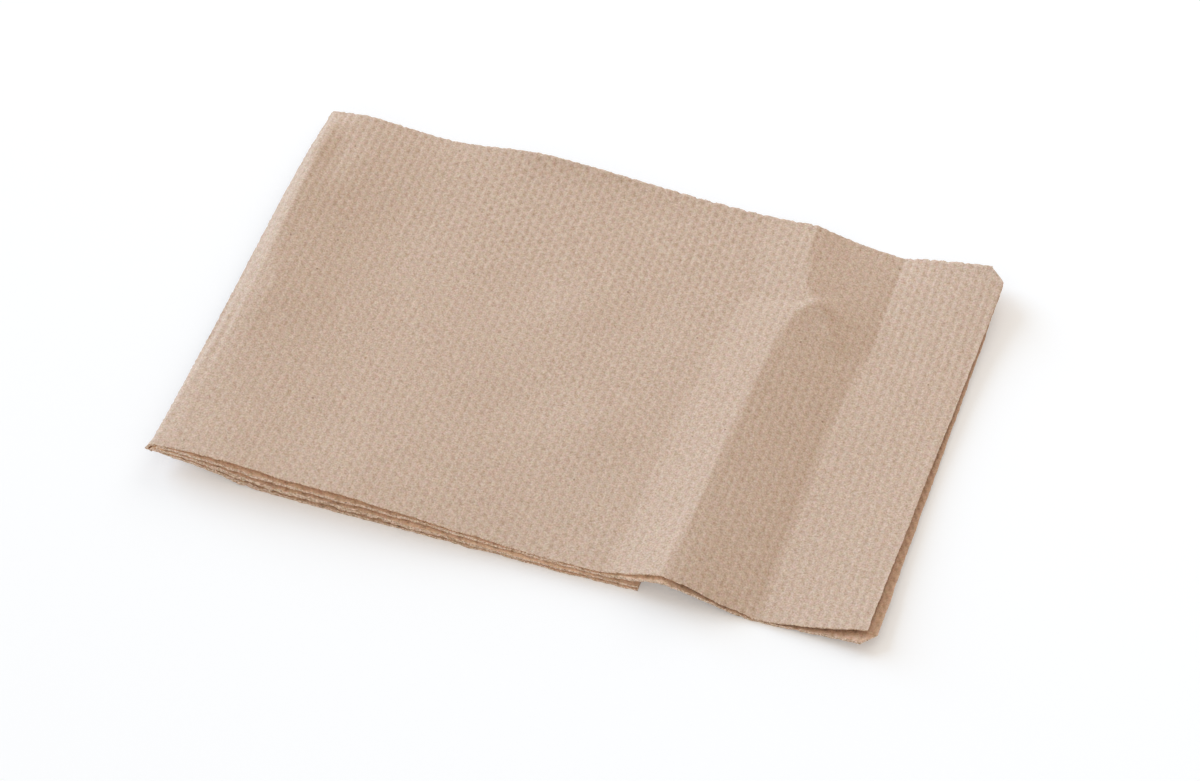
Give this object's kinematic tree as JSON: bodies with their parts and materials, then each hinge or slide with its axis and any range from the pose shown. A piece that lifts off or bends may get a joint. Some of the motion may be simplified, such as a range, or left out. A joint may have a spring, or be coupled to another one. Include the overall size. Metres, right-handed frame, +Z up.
{
  "type": "folded paper napkin",
  "caption": "Folded brown paper napkin: an embossed tissue sheet doubled lengthwise, then folded back so a long top panel lies over a shorter lower one.",
  "frame": {"origin": "middle of the napkin's outline on the surface it lies on", "axes": "+X from the crosswise fold to the cut end of the top panel, +Y from the open front edges to the lengthwise fold, +Z up"},
  "size_m": [0.166, 0.1088, 0.0071],
  "materials": {
    "tissue": "uncoated brown tissue paper, matt, with a small embossed dot pattern"
  },
  "bodies": {
    "root": {"napkin": "tissue"}
  },
  "joints": []
}
